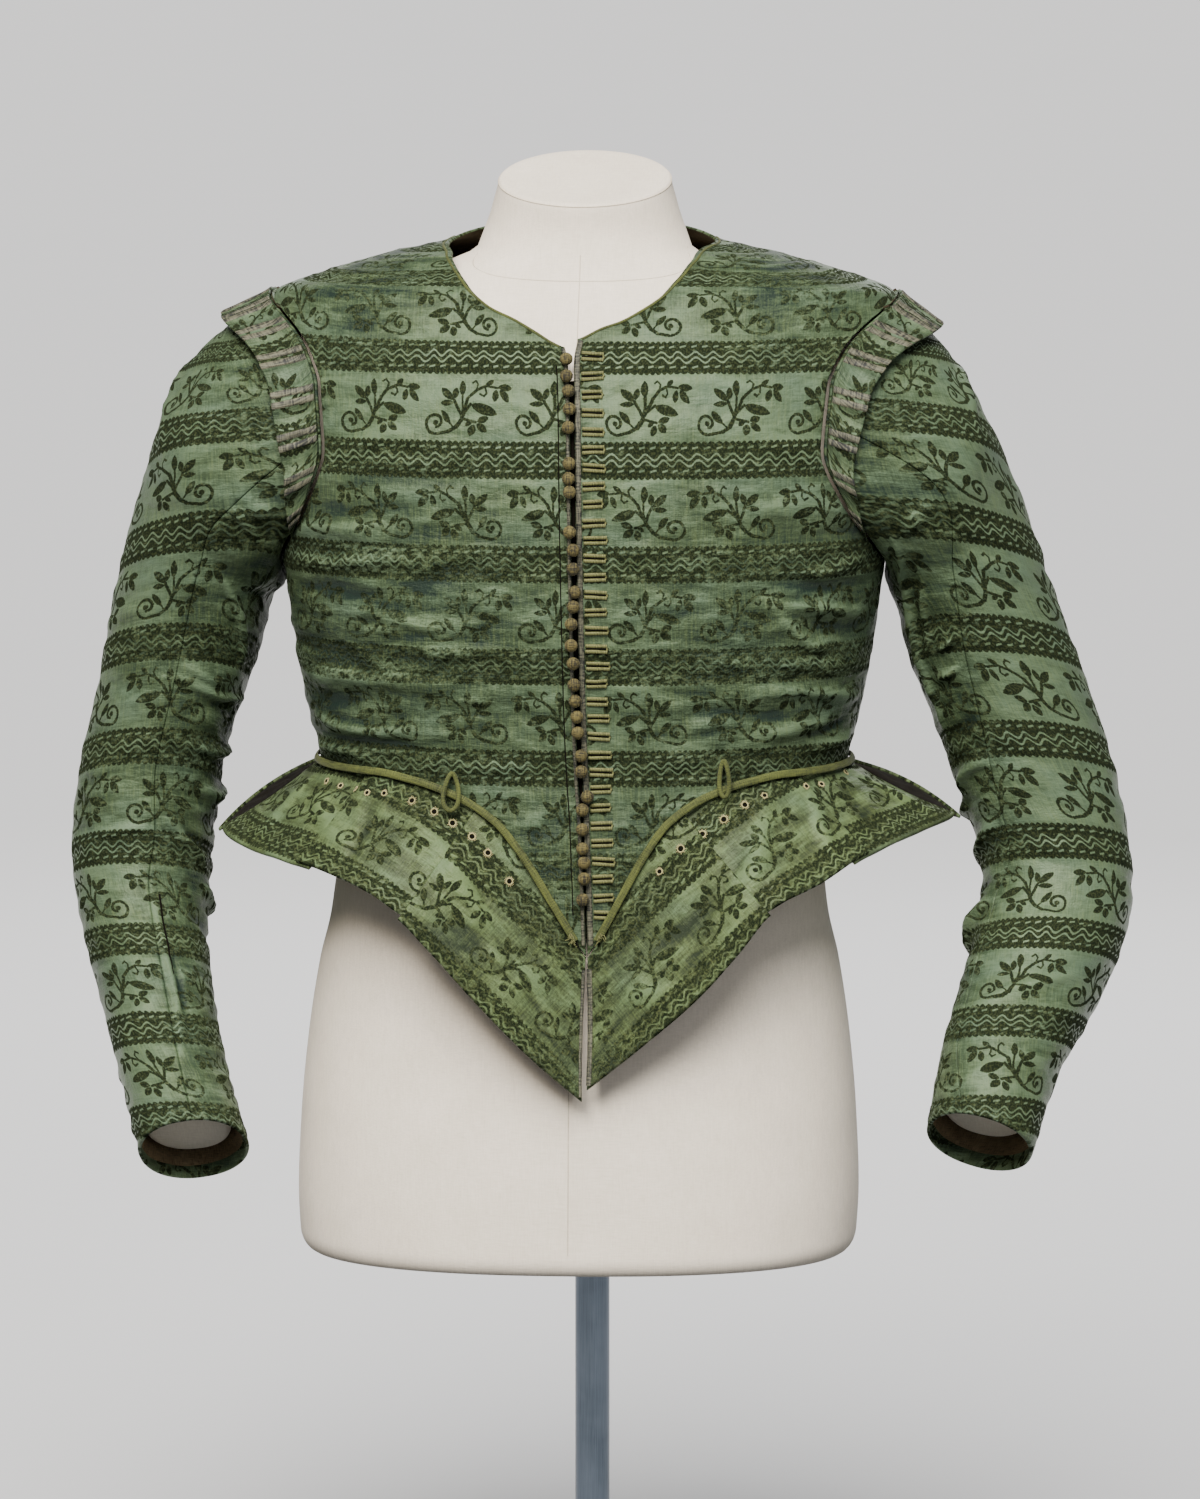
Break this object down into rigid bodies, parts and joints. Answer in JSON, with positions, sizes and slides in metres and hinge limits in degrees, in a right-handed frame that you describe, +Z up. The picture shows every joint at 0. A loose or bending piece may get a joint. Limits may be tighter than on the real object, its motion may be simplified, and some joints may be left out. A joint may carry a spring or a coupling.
{
  "type": "silk velvet doublet on a dress form stand",
  "caption": "Long-sleeved silk velvet doublet with shoulder wings, pointed waist and flared laps, buttoned down the front, on a padded dress form with steel pole and round base.",
  "frame": {"origin": "centre of the underside of the stand's round base, on the floor", "axes": "+Z up along the pole, -Y out of the chest, +X towards the wearer's left"},
  "size_m": [0.6938, 0.34, 1.022],
  "materials": {
    "cut_velvet_silk": "silk satin ground with cut velvet pile, soft sheen",
    "silk_cord": "braided silk cord, matt",
    "button_thread": "thread wrapped over a core, matt with a few metal glints",
    "linen_cover": "plain linen, matt",
    "stand_steel": "brushed",
    "stand_base_steel": "satin"
  },
  "bodies": {
    "root": {"front_right": "cut_velvet_silk", "back_right": "cut_velvet_silk", "sleeve_right_outer": "cut_velvet_silk", "sleeve_right_inner": "cut_velvet_silk", "wing_right": "cut_velvet_silk", "lap_right_front": "cut_velvet_silk", "lap_right_fore_side": "cut_velvet_silk", "lap_right_side": "cut_velvet_silk", "lap_right_back": "cut_velvet_silk", "waist_cord_right": "silk_cord", "waist_loop_right": "silk_cord", "sleeve_pad_right": "linen_cover", "front_left": "cut_velvet_silk", "back_left": "cut_velvet_silk", "sleeve_left_outer": "cut_velvet_silk", "sleeve_left_inner": "cut_velvet_silk", "wing_left": "cut_velvet_silk", "lap_left_front": "cut_velvet_silk", "lap_left_fore_side": "cut_velvet_silk", "lap_left_side": "cut_velvet_silk", "lap_left_back": "cut_velvet_silk", "waist_cord_left": "silk_cord", "waist_loop_left": "silk_cord", "sleeve_pad_left": "linen_cover", "button_01": "button_thread", "button_02": "button_thread", "button_03": "button_thread", "button_04": "button_thread", "button_05": "button_thread", "button_06": "button_thread", "button_07": "button_thread", "button_08": "button_thread", "button_09": "button_thread", "button_10": "button_thread", "button_11": "button_thread", "button_12": "button_thread", "button_13": "button_thread", "button_14": "button_thread", "button_15": "button_thread", "button_16": "button_thread", "button_17": "button_thread", "button_18": "button_thread", "button_19": "button_thread", "button_20": "button_thread", "button_21": "button_thread", "button_22": "button_thread", "button_23": "button_thread", "button_24": "button_thread", "button_25": "button_thread", "button_26": "button_thread", "button_27": "button_thread", "button_28": "button_thread", "button_29": "button_thread", "form_torso": "linen_cover", "stand_pole": "stand_steel", "stand_base": "stand_base_steel"}
  },
  "joints": []
}
